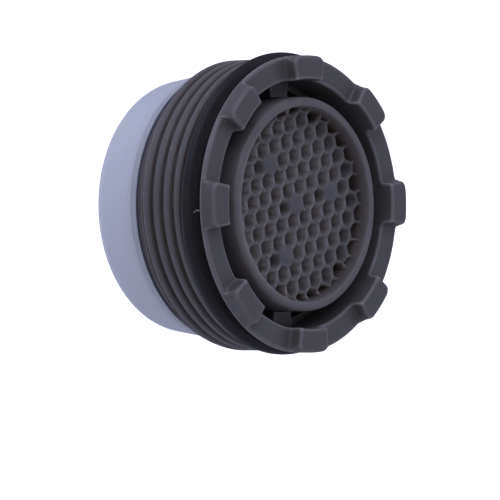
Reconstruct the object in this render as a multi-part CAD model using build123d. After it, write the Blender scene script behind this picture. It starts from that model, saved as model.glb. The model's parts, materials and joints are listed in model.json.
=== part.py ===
from build123d import *
import math
import os

# Recessed tap aerator: a castellated, threaded housing with a honeycomb outlet, an O-ring, two mixing
# screens, a diffuser and an inlet strainer. Millimetres, +Z points out of the outlet, and the inlet end
# stands on z = 0.

# Running clearance between pieces that slide into each other, on the radius
slide_gap = 0.05

# Housing: threaded sleeve, seal groove, flange and lugs
thread_diameter = 21.5
thread_length = 4.4
sleeve_wall = 2.05
lead_in_depth = 0.75
lead_in_length = 0.35
ring_step = 0.45
ring_wall = 0.45
flange_rise = 0.15
flange_thickness = 0.4
flange_round = 0.12
lug_count = 8
lug_height = 1.0
lug_angle = 18.3
lug_round = 0.25
rib_count = 4
rib_width = 1.8
rib_height = 1.25

# Seal ring: round section, pressed flat where it sits on the groove floor
seal_section = 1.68
seal_squeeze = 0.08
seal_shoulder_gap = 0.06
groove_slack = 0.57

# Inlet strainer: a tapered cup with a sieve floor
strainer_height = 4.65
strainer_inset = 0.05
strainer_taper = 0.68
strainer_edge_round = 1.5
strainer_inner_round = 0.7
strainer_floor = 0.9
strainer_step = 0.25
socket_wall = 1.18
socket_end_gap = 0.15
sieve_hole = 0.9
sieve_pitch = 1.55
sieve_border = 1.25

# Diffuser: a flange caught between strainer and housing, a skirt, a neck and a jet plate
diffuser_flange = 0.45
diffuser_inset = 0.07
skirt_length = 1.15
skirt_wall = 0.9
neck_length = 2.9
neck_wall = 1.3
post_height = 0.6
post_angle = 18.0
air_slot_count = 8
jet_plate_thickness = 1.0
jet_plate_depth = 0.8
jet_count = 12
jet_inset = 1.65
jet_hole = 0.8
cone_inset = 1.3
cone_height = 1.3

# Snap beads on the skirt and the neck, and how much larger their grooves are
bead_height = 0.14
bead_half_width = 0.28
bead_gap = 0.04
neck_bead_place = 1.2

# Mixing screens: two square-mesh discs, the second turned by half a right angle
screen_thickness = 0.35
screen_hole = 1.1
screen_pitch = 1.6
screen_border = 0.68
screen_turn = 45.0

# Stream straightener: nozzle tube with a notched flange and a honeycomb
air_gap = 1.2
nozzle_wall = 1.03
nozzle_flange = 0.8
seat_wall = 0.35
rim_width = 0.68
rim_round = 0.12
notch_angle = 22.0
honeycomb_clearance = 0.6
honeycomb_thickness = 2.1
honeycomb_recess = 0.93
cell_pitch = 1.36
cell_wall = 0.3
cell_turn = 103.0
cell_smallest_share = 0.3
plug_steps = 3
plug_count = 3

# Radii, worked inwards from the thread
thread_radius = thread_diameter / 2
lead_in_radius = thread_radius - lead_in_depth
bore_radius = thread_radius - sleeve_wall
ring_bore_radius = bore_radius + ring_step
groove_radius = ring_bore_radius + ring_wall
flange_radius = thread_radius + flange_rise
diffuser_flange_radius = lead_in_radius - diffuser_inset
neck_radius = bore_radius - slide_gap
neck_bore = neck_radius - neck_wall
jet_radius = neck_bore - jet_inset
cone_radius = jet_radius - cone_inset
strainer_rim_radius = diffuser_flange_radius - strainer_inset
strainer_foot_radius = strainer_rim_radius - strainer_taper
socket_radius = strainer_rim_radius - socket_wall
skirt_radius = socket_radius - slide_gap
strainer_bore = socket_radius - strainer_step
nozzle_radius = ring_bore_radius - air_gap
nozzle_bore = nozzle_radius - nozzle_wall
nozzle_flange_radius = bore_radius - slide_gap
rib_inner_radius = nozzle_radius + slide_gap
screen_seat_radius = nozzle_radius - seat_wall
screen_radius = screen_seat_radius - slide_gap

# Heights of the seats, counted up from the inlet end
diffuser_seat = strainer_height
housing_seat = diffuser_seat + diffuser_flange
skirt_low = diffuser_seat - skirt_length
socket_low = skirt_low - socket_end_gap
thread_low = housing_seat + lead_in_length
thread_high = thread_low + thread_length
groove_width = seal_section + groove_slack
flange_low = thread_high + groove_width
flange_top = flange_low + flange_thickness
lug_top = flange_top + lug_height
neck_top = housing_seat + neck_length
jet_plate_top = neck_top - jet_plate_depth
jet_plate_low = jet_plate_top - jet_plate_thickness
nozzle_seat = neck_top + post_height
rib_low = nozzle_seat + nozzle_flange
screens_top = nozzle_seat + 2 * screen_thickness
honeycomb_low = screens_top + honeycomb_clearance
honeycomb_top = honeycomb_low + honeycomb_thickness
rim_top = honeycomb_top + honeycomb_recess
bead_on_skirt = diffuser_seat - skirt_length / 2
bead_on_neck = housing_seat + neck_bead_place


def turned(points, rounds=()):
    """Solid turned about Z from (radius, height) points, with rounds as (point, radius) pairs."""
    profile = Polygon(*points, align=None)
    for point, radius in rounds:
        corner = profile.vertices().sort_by_distance((*point, 0))[0]
        profile = fillet(corner, radius)
    return revolve(Plane.XZ * profile, Axis.Z)


def bead(radius, height, extra):
    """Ring of triangular section on a wall, grown by extra to cut the groove that it snaps into."""
    half = bead_half_width + extra
    tip = (radius + bead_height + extra, height)
    return turned([(radius - bead_height, height - half), (radius, height - half), tip,
                   (radius, height + half), (radius - bead_height, height + half)])


def sector(inner, outer, angle, low, high):
    """Block between two radii, centred on +X, with radial flanks."""
    reach = 2 * outer
    half = math.radians(angle / 2)
    wedge = Polygon((0, 0), (reach * math.cos(half), -reach * math.sin(half)),
                    (reach * math.cos(half), reach * math.sin(half)), align=None)
    face = (Circle(outer) - Circle(inner)) & wedge
    return Pos(0, 0, low) * extrude(face, high - low)


def around(piece, count, start=0.0):
    """Copies of a piece spaced evenly about Z."""
    return [Rot(0, 0, start + 360 / count * index) * piece for index in range(count)]


def square_mesh(pitch, hole, reach):
    """Square holes on a square grid, kept where the whole hole lies within reach of the axis."""
    steps = int(reach / pitch) + 1
    corner = hole / math.sqrt(2)
    lines = [step * pitch for step in range(-steps, steps + 1)]
    inside = [(x, y) for x in lines for y in lines if math.hypot(x, y) + corner <= reach]
    return [Pos(*place) * Rectangle(hole, hole) for place in inside]


def inlet_strainer():
    """White cup with a rounded foot, a snap socket at its rim and a sieve in its floor."""
    foot = (strainer_foot_radius, 0)
    corner = (strainer_bore, strainer_floor)
    cup = turned([(0, 0), foot, (strainer_rim_radius, strainer_height), (socket_radius, strainer_height),
                  (socket_radius, socket_low), (strainer_bore, socket_low), corner, (0, strainer_floor)],
                 [(foot, strainer_edge_round), (corner, strainer_inner_round)])
    cup -= bead(socket_radius, bead_on_skirt, bead_gap)
    holes = Sketch() + square_mesh(sieve_pitch, sieve_hole, strainer_bore - sieve_border)
    return cup - extrude(holes, strainer_floor)


def diffuser():
    """White insert: flange, snap skirt, neck with spacer posts, and a plate of jets with a flow cone."""
    skirt_bore = skirt_radius - skirt_wall
    body = turned([(0, jet_plate_low), (skirt_bore, jet_plate_low), (skirt_bore, skirt_low),
                   (skirt_radius, skirt_low), (skirt_radius, diffuser_seat),
                   (diffuser_flange_radius, diffuser_seat), (diffuser_flange_radius, housing_seat),
                   (neck_radius, housing_seat), (neck_radius, nozzle_seat), (neck_bore, nozzle_seat),
                   (neck_bore, jet_plate_top), (0, jet_plate_top)])
    body += bead(skirt_radius, bead_on_skirt, 0)
    body += bead(neck_radius, bead_on_neck, 0)
    body += turned([(0, jet_plate_low), (cone_radius, jet_plate_low), (0, jet_plate_low - cone_height)])
    air_slot = sector(jet_radius, diffuser_flange_radius, 360 / air_slot_count - post_angle, neck_top, nozzle_seat)
    body -= around(air_slot, air_slot_count, 180 / air_slot_count)
    jets = Sketch() + around(Pos(jet_radius, 0) * Circle(jet_hole / 2), jet_count)
    return body - Pos(0, 0, jet_plate_low) * extrude(jets, jet_plate_thickness)


def lug():
    """One drive lug of the outlet ring, with a rounded front."""
    block = sector(ring_bore_radius, flange_radius, lug_angle, flange_top, lug_top)
    front = block.edges().filter_by_position(Axis.Z, lug_top, lug_top)
    return fillet(front, lug_round)


def centring_rib():
    """One rib across the air gap, rooted in the ring's wall and curved to the nozzle that it centres."""
    root = (ring_bore_radius + groove_radius) / 2
    bar = Rectangle(root, rib_width, align=(Align.MIN, Align.CENTER)) - Circle(rib_inner_radius)
    return Pos(0, 0, rib_low) * extrude(bar, rib_height)


def housing():
    """Grey moulding: threaded sleeve, seal groove, thin flange with lugs, and ribs that centre the nozzle."""
    thread_foot = thread_low + lead_in_depth
    flange_edge = (flange_radius, flange_top)
    sleeve = turned([(bore_radius, housing_seat), (lead_in_radius, housing_seat), (lead_in_radius, thread_low),
                     (thread_radius, thread_foot), (thread_radius, thread_high), (groove_radius, thread_high),
                     (groove_radius, flange_low), (flange_radius, flange_low), flange_edge,
                     (ring_bore_radius, flange_top), (ring_bore_radius, rib_low), (bore_radius, rib_low)],
                    [(flange_edge, flange_round)])
    sleeve -= bead(bore_radius, bead_on_neck, bead_gap)
    sleeve += around(centring_rib(), rib_count)
    return sleeve + around(lug(), lug_count)


def seal_ring():
    """Black O-ring in the groove behind the flange, flattened on the groove floor."""
    radius = seal_section / 2
    centre = groove_radius + radius - seal_squeeze
    section = Pos(centre, thread_high + seal_shoulder_gap + radius) * Circle(radius)
    ring = revolve(Plane.XZ * section, Axis.Z)
    floor = Pos(0, 0, thread_high) * extrude(Circle(groove_radius), groove_width)
    return ring - floor


def mixing_screen(low, turn):
    """Square-mesh disc with a plain border."""
    mesh = square_mesh(screen_pitch, screen_hole, screen_radius - screen_border)
    disc = extrude(Circle(screen_radius) - mesh, screen_thickness)
    return Pos(0, 0, low) * Rot(0, 0, turn) * disc


def cell_places():
    """Centres of the honeycomb cells that are open, by lattice steps from the middle cell."""
    reach = int(nozzle_bore / cell_pitch) + 2
    first = Vector(cell_pitch, 0).rotate(Axis.Z, cell_turn)
    second = first.rotate(Axis.Z, 60)
    plugs = [first.rotate(Axis.Z, 360 / plug_count * index) * plug_steps for index in range(plug_count)]
    plugs.append(Vector(0, 0))
    centres = [first * i + second * j for i in range(-reach, reach + 1) for j in range(-reach, reach + 1)]
    return [centre for centre in centres if all((centre - plug).length > cell_pitch / 2 for plug in plugs)]


def honeycomb_holes():
    """Hexagons of the open cells, cut off at the wall of the nozzle, without the smallest slivers."""
    centre_to_corner = (cell_pitch - cell_wall) / math.sqrt(3)
    hexagon = Rot(0, 0, cell_turn + 30) * RegularPolygon(centre_to_corner, 6)
    smallest = hexagon.area * cell_smallest_share
    disc = Circle(nozzle_bore)
    holes = []
    for centre in cell_places():
        if centre.length < nozzle_bore - centre_to_corner:
            holes.append(Pos(centre) * hexagon)
        elif centre.length < nozzle_bore + centre_to_corner:
            cut = (Pos(centre) * hexagon) & disc
            if cut is not None and cut.area > smallest:
                holes.append(cut)
    return holes


def stream_straightener():
    """Grey nozzle: tube with a dished mouth, a honeycomb across it, and a notched flange with a screen seat."""
    rim_outer = (nozzle_radius, rim_top)
    rim_inner = (nozzle_radius - rim_width, rim_top)
    tube = turned([(nozzle_bore, honeycomb_top), (nozzle_bore, screens_top), (screen_seat_radius, screens_top),
                   (screen_seat_radius, nozzle_seat), (nozzle_flange_radius, nozzle_seat),
                   (nozzle_flange_radius, rib_low), (nozzle_radius, rib_low), rim_outer, rim_inner],
                  [(rim_outer, rim_round), (rim_inner, rim_round)])
    notch = sector(rib_inner_radius, 2 * nozzle_flange_radius, notch_angle, nozzle_seat, rib_low)
    tube -= around(notch, air_slot_count, 180 / air_slot_count)
    root = (nozzle_bore + nozzle_radius) / 2
    grid = Pos(0, 0, honeycomb_low) * extrude(Circle(root) - honeycomb_holes(), honeycomb_thickness)
    return tube + grid


os.makedirs("parts", exist_ok=True)
export_step(inlet_strainer(), "parts/inlet_strainer.step")
export_step(diffuser(), "parts/diffuser.step")
export_step(housing(), "parts/housing.step")
export_step(seal_ring(), "parts/seal_ring.step")
export_step(mixing_screen(nozzle_seat, 0), "parts/lower_screen.step")
export_step(mixing_screen(nozzle_seat + screen_thickness, screen_turn), "parts/upper_screen.step")
export_step(stream_straightener(), "parts/stream_straightener.step")
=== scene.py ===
import json
import math
import bmesh
import bpy
import numpy as np
from mathutils import Matrix, Vector
from mathutils.geometry import delaunay_2d_cdt


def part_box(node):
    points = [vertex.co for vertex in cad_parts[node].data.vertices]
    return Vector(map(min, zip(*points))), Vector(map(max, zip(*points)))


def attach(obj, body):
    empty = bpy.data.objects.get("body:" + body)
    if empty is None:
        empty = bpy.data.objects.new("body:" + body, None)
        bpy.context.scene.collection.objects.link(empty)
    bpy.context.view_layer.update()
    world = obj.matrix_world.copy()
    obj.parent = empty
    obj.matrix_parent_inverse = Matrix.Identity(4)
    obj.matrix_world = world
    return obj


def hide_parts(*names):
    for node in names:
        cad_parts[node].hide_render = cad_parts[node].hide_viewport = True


# Recessed tap aerator: its mouldings, O-ring and strainer as they look, with their finishes, the light and
# the camera. Lengths are in millimetres and angles in degrees, +Z points out of the outlet, and meshes are
# scaled to metres as they are made.

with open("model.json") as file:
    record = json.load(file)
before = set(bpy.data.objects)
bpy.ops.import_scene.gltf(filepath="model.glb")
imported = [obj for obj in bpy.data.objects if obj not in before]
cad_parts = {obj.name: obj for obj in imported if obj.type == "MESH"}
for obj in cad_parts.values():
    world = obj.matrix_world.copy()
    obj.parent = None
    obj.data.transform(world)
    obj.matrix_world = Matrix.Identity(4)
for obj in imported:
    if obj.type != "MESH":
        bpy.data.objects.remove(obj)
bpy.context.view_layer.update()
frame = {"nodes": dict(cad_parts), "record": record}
MM = 0.001


def node_box(node):
    """Lowest and highest corner of a CAD node, in millimetres."""
    low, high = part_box(node)
    return low / MM, high / MM


housing_low, housing_high = node_box("housing")
nozzle_low, nozzle_high = node_box("stream_straightener")
seal_low, seal_high = node_box("seal_ring")
strainer_high = node_box("inlet_strainer")[1]
mounts = {mount["name"]: mount for mount in frame["record"]["mounts"]}

# Edges sharper than these angles stay sharp in the mouldings and in the rubber
moulding_crease = 38
rubber_crease = 60

# Thread and bore of the housing, with the height of a crest on the -Y side
thread_radius = mounts["tap_thread"]["dims"]["r_mm"]
thread_pitch = 1.0
thread_depth = 0.37
thread_crest_width = 0.46
thread_crest_round = 0.26
thread_root_width = 0.22
thread_root_round = 0.06
thread_crest = 9.7
thread_length = 4.85
thread_steps = 104
lead_in_radius = 9.83
lead_in_length = 0.35
rear_edge_round = 0.08
bore_radius = 8.7
snap_groove_place = 1.2
snap_groove_half = 0.32
snap_groove_depth = 0.18
groove_radius = 9.6
groove_width = 1.8

# Flange, lugs and ribs of the housing
ring_bore_radius = 9.15
flange_thickness = 0.4
flange_round = 0.16
flange_rear_round = 0.1
inner_edge_round = 0.15
lug_count = 8
lug_angle = 18.3
lug_height = 1.0
lug_draft = 0.03
lug_outer_round = 0.22
lug_side_round = 0.17
lug_base_round = 0.3
lug_corner_round = 0.65
lug_corner_turns = (0, 12, 24, 34)
lug_wall_levels = 5
lug_wall_margin = 0.02
column_width = 0.42
rib_width = 1.8
rib_height = 1.0
rib_gap = 0.05
rib_seam = 0.02
rib_point_drop = 0.3

# Nozzle
nozzle_radius = 7.87
nozzle_bore = 7.07
nozzle_flange = 0.8
rim_width = 0.68
rim_inner_round = 0.12
rim_outer_round = 0.34
screen_seat_radius = 7.6
screen_seat_depth = 0.7
notch_angle = 22.0
notch_count = 8
notch_step = 0.05

# Honeycomb, with filled cells at the centre and some steps away from it
honeycomb_recess = 0.93
honeycomb_thickness = 2.1
cell_pitch = 1.345
cell_wall = 0.24
cell_turn = 103.0
cell_mouth_round = 0.28
cell_mouth_steps = 7
cell_taper = 0.35
cell_taper_places = (0.2, 0.5, 1.0)
cell_smallest_share = 0.04
cell_roundness = 6.0
ridge_sweep = 0.28
ridge_sweep_length = 0.4
plug_steps = 3

# Diffuser
diffuser_rim_radius = 9.98
diffuser_rim_round = 0.04

# Seal ring: pressed against the flange about one angle and drawn tight about another
seal_squareness = 0.9
seal_width = 1.24
seal_setback = 0.06
seal_squeeze = 0.45
seal_squeeze_angle = -135
seal_stretch = 0.16
seal_stretch_angle = 10
seal_steps = 240
seal_section_steps = 48

# Fibre of lint by the seal ring, with its way along the part and its stand from the flange at each bend
lint_radius = 0.035
lint_angle = -87.6
lint_length = 0.45
lint_overlap = 0.05
lint_bends = ((0, 0.17), (0.2, 0.2), (0.35, 0.1), (0.5, 0.14), (0.65, 0.2), (0.85, 0.12), (1, 0.03))

# Strainer
strainer_taper = 0.68
strainer_swell = 0.03
strainer_edge_round = 1.5
strainer_rim_round = 0.02
strainer_inner_round = 0.7
strainer_floor = 0.9
strainer_step = 0.25
strainer_steps = 192
socket_radius = 8.7
socket_depth = 1.3
sieve_hole = 0.9
sieve_pitch = 1.55
sieve_radius = 7.2

# Heights
rear = housing_low.z
flange_radius = housing_high.x
thread_low = rear + lead_in_length
thread_high = thread_low + thread_length
flange_low = thread_high + groove_width
flange_top = flange_low + flange_thickness
rib_low = nozzle_low.z + nozzle_flange
rib_top = rib_low + rib_height
rim_top = nozzle_high.z
honeycomb_top = rim_top - honeycomb_recess
honeycomb_low = honeycomb_top - honeycomb_thickness


def add_piece(name, mesh, crease):
    """Object of a mesh, linked to the scene and smooth apart from edges past an angle."""
    mesh.shade_smooth()
    mesh.set_sharp_from_angle(angle=math.radians(crease))
    piece = bpy.data.objects.new(name, mesh)
    bpy.context.scene.collection.objects.link(piece)
    return piece


class Shell:
    """Points and faces of one closed mesh, in millimetres."""

    def __init__(self):
        self.points = []
        self.faces = []

    def loop(self, points):
        """Adds points and returns their numbers."""
        start = len(self.points)
        self.points.extend(tuple(point) for point in points)
        return list(range(start, len(self.points)))

    def strip(self, first, second):
        """Joins two closed loops of equal length by faces."""
        for index, corner in enumerate(first):
            following = (index + 1) % len(first)
            self.faces.append((corner, first[following], second[following], second[index]))

    def fan(self, loop, tip):
        """Closes a loop by triangles to one point."""
        centre = self.loop([tip])[0]
        for index, corner in enumerate(loop):
            self.faces.append((corner, loop[(index + 1) % len(loop)], centre))

    def piece(self, name, crease, finish, split=None, second_finish=None):
        """Welded mesh object with its faces outwards. Faces from the number split on have the second
        finish."""
        mesh = bpy.data.meshes.new(name)
        mesh.from_pydata([Vector(point) * MM for point in self.points], [], self.faces)
        mesh.materials.append(finish)
        if second_finish:
            mesh.materials.append(second_finish)
            for face in mesh.polygons[split:]:
                face.material_index = 1
        weld = 1e-5 * MM
        work = bmesh.new()
        work.from_mesh(mesh)
        bmesh.ops.remove_doubles(work, verts=work.verts, dist=weld)
        bmesh.ops.dissolve_degenerate(work, edges=work.edges, dist=weld)
        bmesh.ops.recalc_face_normals(work, faces=work.faces)
        work.to_mesh(mesh)
        work.free()
        return add_piece(name, mesh, crease)


def rounded(corners, steps):
    """Path through (x, y, radius) corners, with an arc in steps at inner corners that have a radius."""
    path = []
    for index, (x, y, radius) in enumerate(corners):
        here = np.array((x, y), float)
        if radius == 0 or index in (0, len(corners) - 1):
            path.append(here)
            continue
        to_last = np.array(corners[index - 1][:2]) - here
        to_next = np.array(corners[index + 1][:2]) - here
        to_last /= np.linalg.norm(to_last)
        to_next /= np.linalg.norm(to_next)
        half = math.acos(np.clip(to_last @ to_next, -1, 1)) / 2
        reach = radius / math.tan(half)
        weight = math.sin(half)
        for share in np.linspace(0, 1, steps + 1):
            first, middle, last = (1 - share) ** 2, 2 * weight * share * (1 - share), share ** 2
            point = first * (here + to_last * reach) + middle * here + last * (here + to_next * reach)
            path.append(point / (first + middle + last))
    return path


def divided(path, longest):
    """Path with points added so that no span is longer than a length."""
    result = [path[0]]
    for start, end in zip(path, path[1:]):
        count = max(1, math.ceil(np.linalg.norm(end - start) / longest))
        result.extend(start + (end - start) * step / count for step in range(1, count + 1))
    return result


def direction(degrees):
    """Unit vector in the plane at an angle in degrees."""
    turn = math.radians(degrees)
    return np.array((math.cos(turn), math.sin(turn)))


def around(angle, path):
    """Points of a (radius, height) path at an angle about Z, in radians."""
    return [(radius * math.cos(angle), radius * math.sin(angle), height) for radius, height in path]


def smooth_step(value):
    """Goes from 0 to 1 with level ends as the value does."""
    value = min(max(value, 0.0), 1.0)
    return value * value * (3 - 2 * value)


def turned(shell, angles, paths):
    """Skin through one path for each angle, all of equal length. Returns its first and its last loop."""
    columns = [around(angle, path) for angle, path in zip(angles, paths)]
    loops = [shell.loop(points) for points in zip(*columns)]
    for first, second in zip(loops, loops[1:]):
        shell.strip(first, second)
    return loops[0], loops[-1]


# Housing


def lug_columns():
    """Angle, height above the flange, depth of the lug's rounded corner and whether it is on a rib, for each
    column of the housing. Every second lug has a rib behind it."""
    middle = (ring_bore_radius + flange_radius) / 2
    half = middle * math.radians(lug_angle / 2)
    valley = middle * math.pi / lug_count
    rib = rib_width / 2 * middle / nozzle_radius
    flank = divided(rounded([(0, lug_height, 0), (half - lug_draft, lug_height, lug_side_round),
                             (half + lug_draft, 0, lug_base_round), (valley, 0, 0)], 6), column_width)
    flank += [np.array((rib - rib_seam, lug_height)), np.array((rib + rib_seam, lug_height))]
    for turn in np.radians(lug_corner_turns):
        flank.append(np.array((half - lug_corner_round * (1 - math.sin(turn)), lug_height)))
    flank.sort(key=lambda point: point[0])
    columns = []
    for lug in range(lug_count):
        centre = 2 * math.pi * lug / lug_count
        for side in (-1, 1):
            ordered = flank[::-1][:-1] if side < 0 else flank[:-1]
            for across, height in ordered:
                into = min(max(across - (half - lug_corner_round), 0), lug_corner_round)
                corner = lug_corner_round - math.sqrt(lug_corner_round ** 2 - into ** 2)
                on_rib = lug % 2 == 0 and across < rib
                columns.append((centre + side * across / middle, height, corner, on_rib))
    return columns


def thread_path(angle):
    """Right-hand thread with rounded crests along the housing at an angle, cut back by the lead-in cone."""
    half = thread_pitch / 2
    ridge = np.array(rounded([
        (0, 0, 0), (thread_crest_width / 2, 0, thread_crest_round),
        (half - thread_root_width / 2, -thread_depth, thread_root_round), (half, -thread_depth, 0)], 8))
    rise = (angle / (2 * math.pi) + 0.25) * thread_pitch
    path = []
    for height in np.linspace(thread_low, thread_high, thread_steps):
        across = abs((height - thread_crest - rise + half) % thread_pitch - half)
        radius = thread_radius + np.interp(across, ridge[:, 0], ridge[:, 1])
        cone = lead_in_radius + (height - thread_low)
        path.append((min(radius, cone), height))
    return path


def housing_path(angle, height, corner, on_rib):
    """Closed outline of the housing's wall at an angle, from the rear rim over the outside to the bore.
    Off the ribs, the rib's points lie on the wall of the ring."""
    front = flange_top + height
    outer_round = flange_round + (lug_outer_round - flange_round) * height / lug_height
    wall_low = flange_low + flange_thickness / 2
    wall_high = front - outer_round - lug_wall_margin
    wall = []
    for level in np.linspace(wall_low, wall_high, lug_wall_levels):
        wall.append((flange_radius - corner * smooth_step((level - flange_top) / lug_height), level, 0))
    front_radius = flange_radius - corner * smooth_step(height / lug_base_round)
    rib_radius = nozzle_radius + rib_gap if on_rib else ring_bore_radius
    rib_front = rib_top if on_rib else rib_top - rib_point_drop
    groove = rear + snap_groove_place
    rear_part = rounded([
        (bore_radius, rear, 0), (lead_in_radius, rear, rear_edge_round), (lead_in_radius, thread_low, 0)], 3)
    front_part = rounded([
        (groove_radius, thread_high, 0), (groove_radius, flange_low, 0),
        (flange_radius, flange_low, flange_rear_round), *wall, (front_radius, front, outer_round),
        (ring_bore_radius, front, inner_edge_round), (ring_bore_radius, flange_low, 0),
        (ring_bore_radius, rib_top, 0), (rib_radius, rib_front, 0), (rib_radius, rib_low, 0),
        (bore_radius, rib_low, 0), (bore_radius, groove + snap_groove_half, 0),
        (bore_radius + snap_groove_depth, groove, 0), (bore_radius, groove - snap_groove_half, 0)], 5)
    return rear_part[:-1] + thread_path(angle) + front_part


def make_housing(finish):
    """Grey moulding with its thread, seal groove, flange, lugs and ribs, as one skin."""
    shell = Shell()
    columns = lug_columns()
    paths = [housing_path(*column) for column in columns]
    first, last = turned(shell, [column[0] for column in columns], paths)
    shell.strip(last, first)
    return shell.piece("housing_moulding", moulding_crease, finish)


# Stream straightener


def cell_border(centre, across, arc_step=math.radians(1.2), side_steps=6):
    """Outline of a six-sided cell of a width across flats, cut off at the bore and empty outside it."""
    size = across / math.sqrt(3)
    corners = [centre + size * direction(cell_turn + 30 + 60 * corner) for corner in range(7)]
    runs = []
    for start, end in zip(corners, corners[1:]):
        along = end - start
        a, b, c = along @ along, 2 * start @ along, start @ start - nozzle_bore ** 2
        root = b * b - 4 * a * c
        if root <= 0:
            continue
        enters = max(0.0, (-b - math.sqrt(root)) / (2 * a))
        leaves = min(1.0, (-b + math.sqrt(root)) / (2 * a))
        if leaves - enters > 1e-6:
            runs.append([start + along * share for share in np.linspace(enters, leaves, side_steps + 1)])
    border = []
    for run, following in zip(runs, runs[1:] + runs[:1]):
        border.extend(run[:-1])
        if np.linalg.norm(run[-1] - following[0]) > 1e-6:
            first = math.atan2(run[-1][1], run[-1][0])
            sweep = (math.atan2(following[0][1], following[0][0]) - first) % (2 * math.pi)
            count = max(2, math.ceil(sweep / arc_step))
            for step in range(count):
                angle = first + sweep * step / count
                border.append(nozzle_bore * np.array((math.cos(angle), math.sin(angle))))
    return border


def area(border):
    """Area inside an outline."""
    return sum(a[0] * b[1] - a[1] * b[0] for a, b in zip(border, border[1:] + border[:1])) / 2


def centroid(border):
    """Centre of the area inside an outline."""
    pairs = list(zip(border, border[1:] + border[:1]))
    return sum((a + b) * (a[0] * b[1] - a[1] * b[0]) for a, b in pairs) / (6 * area(border))


def cell_hole(centre, middle, border):
    """Mouth of a cell, point for point of its border: the hexagon inside its walls, with soft corners."""
    inner = (cell_pitch - cell_wall) / 2
    normals = [direction(cell_turn + 60 * side) for side in range(6)]
    hole = []
    for point in border:
        span = np.linalg.norm(point - middle)
        along = (point - middle) / span
        facing = [normal for normal in normals if normal @ along > 0.02]
        reaches = [(inner - normal @ (middle - centre)) / (normal @ along) for normal in facing]
        reach = sum(value ** -cell_roundness for value in reaches) ** (-1 / cell_roundness)
        hole.append(middle + along * min(reach, span))
    return hole


def ridge_height(point, hole_point):
    """Height of a ridge between cells: level, and swept up where it runs into the wall of the bore."""
    solid = min(np.linalg.norm(point - hole_point) / (cell_wall / 2), 1)
    near = max(0, 1 - (nozzle_bore - np.linalg.norm(point)) / ridge_sweep_length)
    return honeycomb_top + ridge_sweep * solid * near ** 2


def placed(points, heights):
    """Points of the plane, each at its height."""
    return [(point[0], point[1], height) for point, height in zip(points, heights)]


def flat(points, height):
    """Points of the plane at a height."""
    return placed(points, [height] * len(points))


def add_mouth_and_wall(shell, front, border, heights, hole, middle):
    """Rounded mouth and tapered wall of an open cell, from its front loop. Returns the wall's last loop."""
    top = honeycomb_top - cell_mouth_round
    last = front
    for share in np.linspace(0, 1, cell_mouth_steps + 1)[1:]:
        across = math.sin(share * math.pi / 2)
        drop = 1 - math.cos(share * math.pi / 2)
        ring = [outer + (inner - outer) * across for outer, inner in zip(border, hole)]
        following = shell.loop(placed(ring, [height + (top - height) * drop for height in heights]))
        shell.strip(last, following)
        last = following
    for share in cell_taper_places:
        ring = [inner + (middle - inner) * cell_taper * share for inner in hole]
        following = shell.loop(flat(ring, top + (honeycomb_low - top) * share))
        shell.strip(last, following)
        last = following
    return last


def add_cell(shell, centre, plugged):
    """Front, wall and back of one cell of the honeycomb. Returns the heights of its front along the bore, by
    angle."""
    border = cell_border(centre, cell_pitch)
    if len(border) < 3:
        return {}
    mouth = cell_border(centre, cell_pitch - cell_wall)
    smallest = cell_smallest_share * cell_pitch ** 2 * math.sqrt(3) / 2
    closed = plugged or len(mouth) < 3 or area(mouth) < smallest
    middle = centroid(border if closed else mouth)
    hole = [middle] * len(border) if closed else cell_hole(centre, middle, border)
    heights = [ridge_height(*pair) for pair in zip(border, hole)]
    front = shell.loop(placed(border, heights))
    back = shell.loop(flat(border, honeycomb_low))
    if closed:
        shell.fan(front, (*middle, honeycomb_top))
        shell.fan(back, (*middle, honeycomb_low))
    else:
        shell.strip(add_mouth_and_wall(shell, front, border, heights, hole, middle), back)
    return {round(math.atan2(point[1], point[0]), 9): height for point, height in zip(border, heights)
            if abs(np.linalg.norm(point) - nozzle_bore) < 1e-6}


def nozzle_path(angle, honeycomb_edge):
    """Outline of the nozzle's tube at an angle, from the honeycomb's front over the rim to its back."""
    slot = (math.degrees(angle) * notch_count / 360) % 1
    notched = abs(slot - 0.5) < notch_angle * notch_count / 720
    flange = nozzle_radius + notch_step if notched else -nozzle_low.x
    seat = nozzle_low.z + screen_seat_depth
    return rounded([
        (nozzle_bore, honeycomb_edge, 0), (nozzle_radius - rim_width, rim_top, rim_inner_round),
        (nozzle_radius, rim_top, rim_outer_round), (nozzle_radius, rib_low, 0), (flange, rib_low, 0),
        (flange, nozzle_low.z, 0), (screen_seat_radius, nozzle_low.z, 0), (screen_seat_radius, seat, 0),
        (nozzle_bore, seat, 0), (nozzle_bore, honeycomb_low, 0)], 6)


def make_straightener(thin, thick):
    """Nozzle tube with its rim and notched flange, joined to the honeycomb along the bore. Whole cells
    have the thin finish, with painted light in their hollows, and the tube and the cells that it cuts have
    the thick one, with painted shade in its hollows."""
    shell = Shell()
    first = cell_pitch * direction(cell_turn)
    second = cell_pitch * direction(cell_turn + 60)
    plugs = [first * 0, first * plug_steps, (second - first) * plug_steps, -second * plug_steps]
    reach = int(nozzle_bore / cell_pitch) + 2
    edge = {}
    whole_cells = []
    cut_cells = []
    for i in range(-reach, reach + 1):
        for j in range(-reach, reach + 1):
            centre = first * i + second * j
            plugged = any(np.linalg.norm(centre - plug) < cell_pitch / 2 for plug in plugs)
            shell.faces = []
            along_bore = add_cell(shell, centre, plugged)
            (cut_cells if along_bore else whole_cells).extend(shell.faces)
            edge.update(along_bore)
    shell.faces = whole_cells + cut_cells
    angles = sorted(edge)
    turned(shell, angles, [nozzle_path(angle, edge[angle]) for angle in angles])
    return shell.piece("straightener_moulding", moulding_crease, thin, len(whole_cells), thick)


# Seal ring


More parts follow.
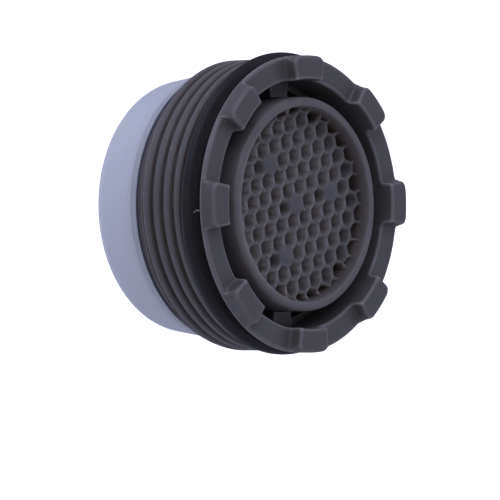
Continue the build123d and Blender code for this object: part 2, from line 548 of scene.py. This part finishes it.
def add_lint(shell):
    """Short crooked fibre that is stuck to the edge of the flange and stands out over the O-ring."""
    last = None
    for share, out in lint_bends:
        turn = math.radians(lint_angle - 0.8 * share + 0.35 * math.sin(9 * share))
        height = flange_low + lint_overlap - lint_length * (1 - share)
        middle = Vector(around(turn, [(flange_radius + out, height)])[0])
        across = Vector((-math.sin(turn), math.cos(turn), 0)) * lint_radius
        outward = Vector((math.cos(turn), math.sin(turn), 0)) * lint_radius
        sixths = [step * math.pi / 3 for step in range(6)]
        ring = shell.loop(middle + across * math.cos(step) + outward * math.sin(step) for step in sixths)
        if last:
            shell.strip(last, ring)
        else:
            shell.fan(ring, middle)
        last = ring
    shell.fan(last, middle)


def seal_path(angle):
    """Section of the O-ring at an angle: an oval on the groove's floor, narrow where the ring is pressed
    against the flange and lower where it is drawn tight."""
    squeeze = seal_squeeze * max(0, math.cos(angle - math.radians(seal_squeeze_angle))) ** 2
    stretch = seal_stretch * max(0, math.cos(angle - math.radians(seal_stretch_angle))) ** 2
    half_depth = (seal_high.x - groove_radius - stretch) / 2
    half_width = (seal_width - squeeze) / 2
    level = (seal_high.z + seal_low.z) / 2 - seal_setback + squeeze / 2
    path = []
    for turn in np.linspace(0, 2 * math.pi, seal_section_steps, endpoint=False):
        shares = (math.cos(turn), math.sin(turn))
        out, up = (math.copysign(abs(share) ** seal_squareness, share) for share in shares)
        path.append((groove_radius + half_depth * (1 + out), level + half_width * up))
    return path


def make_seal(finish, lint):
    """Black O-ring in its groove, with a fibre of lint beside it."""
    shell = Shell()
    angles = np.linspace(0, 2 * math.pi, seal_steps, endpoint=False)
    first, last = turned(shell, angles, [seal_path(angle) for angle in angles])
    shell.strip(last, first)
    rubber_faces = len(shell.faces)
    add_lint(shell)
    return shell.piece("o_ring", rubber_crease, finish, rubber_faces, lint)


# Diffuser


def make_diffuser(finish):
    """White insert as its solid has it, but for a wider flange, whose rim shows beside the thread."""
    mesh = frame["nodes"]["diffuser"].data.copy()
    near = 0.01 * MM
    work = bmesh.new()
    work.from_mesh(mesh)
    bmesh.ops.remove_doubles(work, verts=work.verts, dist=1e-3 * MM)
    bmesh.ops.dissolve_limit(work, angle_limit=math.radians(0.5), verts=work.verts, edges=work.edges)
    outer = max(vert.co.xy.length for vert in work.verts)
    rim = {vert for vert in work.verts if vert.co.xy.length > outer - near}
    for vert in rim:
        vert.co.xy *= diffuser_rim_radius * MM / vert.co.xy.length
    edges = [edge for edge in work.edges if rim.issuperset(edge.verts)
             and abs(edge.verts[0].co.z - edge.verts[1].co.z) < near]
    bmesh.ops.bevel(work, geom=edges, offset=diffuser_rim_round * MM, segments=4, profile=0.5, affect="EDGES")
    work.to_mesh(mesh)
    work.free()
    mesh.materials.clear()
    mesh.materials.append(finish)
    return add_piece("diffuser_insert", mesh, moulding_crease)


# Strainer


def sieve_holes():
    """Corners of the square holes in the strainer's floor, in rows that fill a circle."""
    steps = int(sieve_radius / sieve_pitch) + 1
    half = sieve_hole / 2
    corners = ((-half, -half), (half, -half), (half, half), (-half, half))
    holes = []
    for i in range(-steps, steps + 1):
        for j in range(-steps, steps + 1):
            x, y = i * sieve_pitch, j * sieve_pitch
            if math.hypot(x, y) + half * math.sqrt(2) <= sieve_radius:
                holes.append([(x + right, y + up) for right, up in corners])
    return holes


def add_sieve_plate(shell, rim, holes, level):
    """Flat round plate at a level, with its rim's points and its square holes given in the plane."""
    points = [Vector(point) for point in rim]
    edges = [(index, (index + 1) % len(rim)) for index in range(len(rim))]
    for hole in holes:
        start = len(points)
        points.extend(Vector(point) for point in hole)
        edges.extend((start + index, start + (index + 1) % 4) for index in range(4))
    corners, _, faces, *_ = delaunay_2d_cdt(points, edges, [], 0, 1e-6)
    numbers = shell.loop(flat(corners, level))
    centres = [np.mean(hole, axis=0) for hole in holes]
    inside = sieve_hole / 2 - 1e-4
    for face in faces:
        middle = np.mean([corners[corner] for corner in face], axis=0)
        if all(max(abs(middle - centre)) >= inside for centre in centres):
            shell.faces.append(tuple(numbers[corner] for corner in face))


def make_strainer(finish):
    """White tapered cup with a rounded foot, a snap socket at its rim and a sieve in its floor."""
    shell = Shell()
    rim_radius = strainer_high.x + strainer_swell
    height = strainer_high.z
    bore = socket_radius - strainer_step
    floor_radius = bore - strainer_inner_round
    angles = np.linspace(0, 2 * math.pi, strainer_steps, endpoint=False)
    path = rounded([
        (floor_radius, 0, 0), (rim_radius - strainer_taper, 0, strainer_edge_round),
        (rim_radius, height, strainer_rim_round), (socket_radius, height, 0),
        (socket_radius, height - socket_depth, 0), (bore, height - socket_depth, 0),
        (bore, strainer_floor, strainer_inner_round), (floor_radius - 0.01, strainer_floor, 0)], 10)
    path[-1] = np.array((floor_radius, strainer_floor))
    turned(shell, angles, [path] * len(angles))
    rim = [(floor_radius * math.cos(angle), floor_radius * math.sin(angle)) for angle in angles]
    holes = sieve_holes()
    for level in (0, strainer_floor):
        add_sieve_plate(shell, rim, holes, level)
    for hole in holes:
        shell.strip(shell.loop(flat(hole, 0)), shell.loop(flat(hole, strainer_floor)))
    return shell.piece("strainer_cup", moulding_crease, finish)


# Finishes, with pattern sizes in millimetres. Tool rings and grain are finer than a pixel on the real
# part, so they are drawn coarser here.
mottle_size = 2.5
tool_ring_pitch = 0.45
acetal_grain = 0.16
acetal_dust = 0.4
rubber_grain = 0.1
rubber_dust = 0.22
screen_mottle = 0.7
relief_depth = 0.02
screen_relief_depth = 0.03
edge_reach = 0.28
rubber_dust_and_light_reach = 1.0
occlusion_rays = 8

# Numbers of a colour Mix node's sockets, whose names stand for other sockets too
MIX_SHARE, MIX_FIRST, MIX_SECOND = 0, 6, 7
MIX_COLOUR = 2


def to_linear(code):
    """Linear colour of an sRGB hex value."""
    shares = [int(code[place:place + 2], 16) / 255 for place in (1, 3, 5)]
    return (*(s / 12.92 if s <= 0.04045 else ((s + 0.055) / 1.055) ** 2.4 for s in shares), 1.0)


def add_node(tree, kind, settings=(), links=()):
    """Adds a node, sets its inputs or properties by name, and links its inputs from (node, output) pairs."""
    node = tree.nodes.new(kind)
    for name, value in dict(settings).items():
        if isinstance(name, int) or name in node.inputs:
            node.inputs[name].default_value = value
        else:
            setattr(node, name, value)
    for name, (source, output) in dict(links).items():
        tree.links.new(source.outputs[output], node.inputs[name])
    return node


def per_metre(size):
    """Scale of a texture whose features have a size in millimetres."""
    return 1 / (size * MM)


def new_finish(name):
    """Empty material and its node tree."""
    finish = bpy.data.materials.new(name)
    finish.use_nodes = True
    finish.node_tree.nodes.clear()
    return finish, finish.node_tree


def acetal(name, shades, edge_painted_shading, hollow_painted_shading, hollow_reach, hollow_shut, depth, depth_tint):
    """Injection-moulded acetal: a waxy satin skin in two close shades, with painted light and shade on thin
    edges and in hollows. It lets light in to a depth, and shows faint tool rings, fine grain and a few flecks
    of dust."""
    finish, tree = new_finish(name)
    place = {"Vector": (add_node(tree, "ShaderNodeTexCoord"), "Object")}
    mottle = add_node(tree, "ShaderNodeTexNoise", {"Scale": per_metre(mottle_size), "Detail": 3.0}, place)
    body = add_node(tree, "ShaderNodeMix", {
        "data_type": "RGBA", MIX_FIRST: to_linear(shades[0]), MIX_SECOND: to_linear(shades[1])},
        {MIX_SHARE: (mottle, "Fac")})
    # Painted light and shade on thin edges and ridges, from how near the inside is: lighter on most parts,
    # darker on the honeycomb
    inside = add_node(tree, "ShaderNodeAmbientOcclusion", {
        "inside": True, "samples": occlusion_rays, "Distance": edge_reach * MM})
    edge_painting_share = add_node(tree, "ShaderNodeMapRange", {"From Min": 0.97, "From Max": 0.55}, {
        "Value": (inside, "AO")})
    with_painted_edges = add_node(tree, "ShaderNodeMix", {"data_type": "RGBA", MIX_SECOND: to_linear(edge_painted_shading)}, {
        MIX_SHARE: (edge_painting_share, "Result"), MIX_FIRST: (body, MIX_COLOUR)})
    # Painted shade in hollows and beside other parts, from how enclosed each point is; in the honeycomb's
    # cells it is painted light
    outside = add_node(tree, "ShaderNodeAmbientOcclusion", {
        "samples": occlusion_rays, "Distance": hollow_reach * MM})
    hollow_painting_share = add_node(tree, "ShaderNodeMapRange", {"From Min": 1.0, "From Max": hollow_shut}, {
        "Value": (outside, "AO")})
    with_painted_hollows = add_node(tree, "ShaderNodeMix", {"data_type": "RGBA", MIX_SECOND: to_linear(hollow_painted_shading)}, {
        MIX_SHARE: (hollow_painting_share, "Result"), MIX_FIRST: (with_painted_edges, MIX_COLOUR)})
    dust = add_node(tree, "ShaderNodeTexNoise", {"Scale": per_metre(acetal_dust), "Detail": 1.0}, place)
    fleck = add_node(tree, "ShaderNodeMapRange", {"From Min": 0.77, "From Max": 0.83, "To Max": 0.25}, {
        "Value": (dust, "Fac")})
    colour = add_node(tree, "ShaderNodeMix", {"data_type": "RGBA", MIX_SECOND: to_linear("#c4c2c0")}, {
        MIX_SHARE: (fleck, "Result"), MIX_FIRST: (with_painted_hollows, MIX_COLOUR)})
    rings = add_node(tree, "ShaderNodeTexWave", {
        "wave_type": "RINGS", "rings_direction": "Z", "Scale": per_metre(tool_ring_pitch) * math.pi / 10,
        "Distortion": 1.5, "Detail": 3.0, "Detail Scale": 2.0}, place)
    grain = add_node(tree, "ShaderNodeTexNoise", {"Scale": per_metre(acetal_grain), "Detail": 2.0}, place)
    relief = add_node(tree, "ShaderNodeMath", {"operation": "ADD"}, {0: (rings, "Fac"), 1: (grain, "Fac")})
    bump = add_node(tree, "ShaderNodeBump", {"Strength": 0.2, "Distance": relief_depth * MM}, {
        "Height": (relief, "Value")})
    gloss = add_node(tree, "ShaderNodeMapRange", {"To Min": 0.36, "To Max": 0.46}, {"Value": (mottle, "Fac")})
    skin = add_node(tree, "ShaderNodeBsdfPrincipled", {
        "IOR": 1.48, "Subsurface Weight": 1.0, "Subsurface Radius": depth_tint,
        "Subsurface Scale": depth * MM},
        {"Base Color": (colour, MIX_COLOUR), "Roughness": (gloss, "Result"), "Normal": (bump, "Normal")})
    add_node(tree, "ShaderNodeOutputMaterial", links={"Surface": (skin, "BSDF")})
    return finish


def grey_acetal():
    """Housing: dark warm grey, a little translucent, with painted light on edges and painted brown shade in
    hollows.
    """
    return acetal("grey_acetal_moulded", shades=("#66615d", "#6d6864"), edge_painted_shading="#b0aca8",
                  hollow_painted_shading="#5f5247", hollow_reach=1.4, hollow_shut=0.3,
                  depth=0.25, depth_tint=(1.0, 0.75, 0.62))


def smoke_acetal():
    """Honeycomb: grey that lets light through its thin walls, with painted light that makes the inside of the
    cells paler and painted shade on its ridges.
    """
    return acetal("smoke_acetal_moulded", shades=("#646160", "#6b6866"), edge_painted_shading="#595753",
                  hollow_painted_shading="#c2b7a8", hollow_reach=0.6, hollow_shut=0.45,
                  depth=3.0, depth_tint=(1.0, 0.9, 0.84))


def thick_acetal():
    """Tube round the honeycomb: much the same grey, too thick for light to come through, with painted shade
    in its hollows."""
    return acetal("thick_smoke_acetal_moulded", shades=("#6c6865", "#736f6b"), edge_painted_shading="#6e6b68",
                  hollow_painted_shading="#64594f", hollow_reach=1.3, hollow_shut=0.35,
                  depth=3.0, depth_tint=(1.0, 0.9, 0.84))


def white_acetal():
    """Strainer and diffuser: natural white, with light that sinks in and softens every edge, a little painted
    light on edges and painted shade in hollows and by the housing.
    """
    return acetal("white_acetal_moulded", shades=("#eaeaec", "#f0f0f2"), edge_painted_shading="#f2f2f4",
                  hollow_painted_shading="#75767f", hollow_reach=4.0, hollow_shut=0.8,
                  depth=0.9, depth_tint=(1.0, 1.0, 1.1))


def black_nitrile():
    """Moulded nitrile rubber: near black with a dull sheen, a fine dry grain, specks of grey dust, and
    in hollows a paler film that is partly dust and partly painted light."""
    finish, tree = new_finish("black_nitrile_moulded")
    place = {"Vector": (add_node(tree, "ShaderNodeTexCoord"), "Object")}
    grain = add_node(tree, "ShaderNodeTexNoise", {"Scale": per_metre(rubber_grain), "Detail": 3.0}, place)
    body = add_node(tree, "ShaderNodeMix", {
        "data_type": "RGBA", MIX_FIRST: to_linear("#1e1b19"), MIX_SECOND: to_linear("#2a2725")},
        {MIX_SHARE: (grain, "Fac")})
    # Paler film in hollows: partly grey dust, partly painted light that lifts the shade there
    outside = add_node(tree, "ShaderNodeAmbientOcclusion", {
        "samples": occlusion_rays, "Distance": rubber_dust_and_light_reach * MM})
    dust_and_light_share = add_node(tree, "ShaderNodeMapRange", {"From Min": 0.9, "From Max": 0.2}, {
        "Value": (outside, "AO")})
    dusted_and_lit = add_node(tree, "ShaderNodeMix", {"data_type": "RGBA", MIX_SECOND: to_linear("#6a6360")}, {
        MIX_SHARE: (dust_and_light_share, "Result"), MIX_FIRST: (body, MIX_COLOUR)})
    dust = add_node(tree, "ShaderNodeTexNoise", {"Scale": per_metre(rubber_dust), "Detail": 1.0}, place)
    speck = add_node(tree, "ShaderNodeMapRange", {"From Min": 0.7, "From Max": 0.8}, {"Value": (dust, "Fac")})
    colour = add_node(tree, "ShaderNodeMix", {"data_type": "RGBA", MIX_SECOND: to_linear("#565352")}, {
        MIX_SHARE: (speck, "Result"), MIX_FIRST: (dusted_and_lit, MIX_COLOUR)})
    bump = add_node(tree, "ShaderNodeBump", {"Strength": 0.15, "Distance": relief_depth * MM}, {
        "Height": (grain, "Fac")})
    skin = add_node(tree, "ShaderNodeBsdfPrincipled", {
        "IOR": 1.5, "Roughness": 0.5, "Specular IOR Level": 0.42}, {
        "Base Color": (colour, MIX_COLOUR), "Normal": (bump, "Normal")})
    add_node(tree, "ShaderNodeOutputMaterial", links={"Surface": (skin, "BSDF")})
    return finish


def screen_acetal():
    """Moulded mesh of pale grey acetal: dull, with slightly uneven wires."""
    finish, tree = new_finish("screen_mesh_moulded")
    place = {"Vector": (add_node(tree, "ShaderNodeTexCoord"), "Object")}
    mottle = add_node(tree, "ShaderNodeTexNoise", {"Scale": per_metre(screen_mottle), "Detail": 2.0}, place)
    colour = add_node(tree, "ShaderNodeMix", {
        "data_type": "RGBA", MIX_FIRST: to_linear("#8e8c8b"), MIX_SECOND: to_linear("#9d9b9a")},
        {MIX_SHARE: (mottle, "Fac")})
    bump = add_node(tree, "ShaderNodeBump", {"Strength": 0.2, "Distance": screen_relief_depth * MM}, {
        "Height": (mottle, "Fac")})
    skin = add_node(tree, "ShaderNodeBsdfPrincipled", {"IOR": 1.48, "Roughness": 0.5}, {
        "Base Color": (colour, MIX_COLOUR), "Normal": (bump, "Normal")})
    add_node(tree, "ShaderNodeOutputMaterial", links={"Surface": (skin, "BSDF")})
    return finish


def cotton_lint():
    """Loose cotton fibre: dull grey-white."""
    finish, tree = new_finish("cotton_lint_spun")
    skin = add_node(tree, "ShaderNodeBsdfPrincipled", {
        "Base Color": to_linear("#a8a9ab"), "Roughness": 0.9, "Specular IOR Level": 0.2})
    add_node(tree, "ShaderNodeOutputMaterial", links={"Surface": (skin, "BSDF")})
    return finish


def studio_paper():
    """White studio paper, lit through from below so that it stays pale all over."""
    finish, tree = new_finish("studio_paper")
    skin = add_node(tree, "ShaderNodeBsdfPrincipled", {
        "Base Color": to_linear("#f4f4f4"), "Roughness": 0.9, "Specular IOR Level": 0.0,
        "Emission Color": to_linear("#ffffff"), "Emission Strength": 1.0})
    add_node(tree, "ShaderNodeOutputMaterial", links={"Surface": (skin, "BSDF")})
    return finish


# Assembly
white = white_acetal()
for piece, node, slot in [
        (make_housing(grey_acetal()), "housing", "grey_moulding"),
        (make_straightener(smoke_acetal(), thick_acetal()), "stream_straightener", "grey_moulding"),
        (make_seal(black_nitrile(), cotton_lint()), "seal_ring", "black_rubber"),
        (make_diffuser(white), "diffuser", "white_moulding"),
        (make_strainer(white), "inlet_strainer", "white_moulding")]:
    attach(piece, "root")
    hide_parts(node)

mesh_grey = screen_acetal()
for node in ("lower_screen", "upper_screen"):
    mesh = frame["nodes"][node].data
    mesh.materials.clear()
    mesh.materials.append(mesh_grey)

# Floor and light, with the soft boxes' azimuth, elevation and power, azimuth 0 on -Y and 90 on +X
floor_reach = 3.0
light_tint = "#d8dfff"
dome_strength = 0.35
box_distance = 0.42
box_size = 0.4
box_aim = Vector((0, 0, 8)) * MM
soft_boxes = {
    "key_box": (-63, 33, 0.62),
    "side_box": (0, -4, 0.06),
    "right_box": (180, 49, 0.11),
    "rear_high_box": (-57, -32, 0.22),
    "rear_low_box": (57, -32, 0.14),
    "back_box": (180, -86, 0.3),
}


def make_floor():
    """Wide sheet of studio paper under the part, which lights nothing and shades nothing."""
    corners = [(-floor_reach, -floor_reach, 0), (floor_reach, -floor_reach, 0), (floor_reach, floor_reach, 0),
               (-floor_reach, floor_reach, 0)]
    mesh = bpy.data.meshes.new("floor")
    mesh.from_pydata(corners, [], [(0, 1, 2, 3)])
    mesh.materials.append(studio_paper())
    floor = bpy.data.objects.new("floor", mesh)
    floor.visible_diffuse = False
    floor.visible_glossy = False
    floor.visible_transmission = False
    floor.visible_shadow = False
    bpy.context.scene.collection.objects.link(floor)


def add_soft_box(name, azimuth, elevation, power):
    """Square area light that faces the part from two angles."""
    light = bpy.data.lights.new(name, "AREA")
    light.size = box_size
    light.energy = power
    light.color = to_linear(light_tint)[:3]
    lamp = bpy.data.objects.new(name, light)
    lamp.matrix_world = (Matrix.Translation(box_aim)
                         @ Matrix.Rotation(math.radians(azimuth), 4, "Z")
                         @ Matrix.Rotation(math.radians(90 - elevation), 4, "X")
                         @ Matrix.Translation((0, 0, box_distance)))
    bpy.context.scene.collection.objects.link(lamp)


def make_dome():
    """Soft, slightly blue light from all round."""
    world = bpy.data.worlds.new("studio")
    bpy.context.scene.world = world
    world.use_nodes = True
    tree = world.node_tree
    tree.nodes.clear()
    dome = add_node(tree, "ShaderNodeBackground", {"Color": to_linear(light_tint), "Strength": dome_strength})
    add_node(tree, "ShaderNodeOutputWorld", links={"Surface": (dome, "Background")})


make_floor()
for name, (azimuth, elevation, power) in soft_boxes.items():
    add_soft_box(name, azimuth, elevation, power)
make_dome()

# Camera on the photograph's line of sight, rolled so that the outlet points right
camera_aim = Vector((3.314, -0.419, 7.695)) * MM
camera_distance = 400 * MM
camera_turn = -0.352
camera_tilt = 48.74
camera_roll = 89.291
camera = bpy.data.cameras.new("camera")
camera.lens = 389.9
camera.clip_start = 0.01
viewer = bpy.data.objects.new("camera", camera)
viewer.matrix_world = (Matrix.Translation(camera_aim)
                       @ Matrix.Rotation(math.radians(camera_turn), 4, "Z")
                       @ Matrix.Rotation(math.radians(camera_tilt), 4, "X")
                       @ Matrix.Rotation(math.radians(camera_roll), 4, "Z")
                       @ Matrix.Translation((0, 0, camera_distance)))
bpy.context.scene.collection.objects.link(viewer)
bpy.context.scene.camera = viewer
bpy.context.scene.view_settings.view_transform = "Standard"
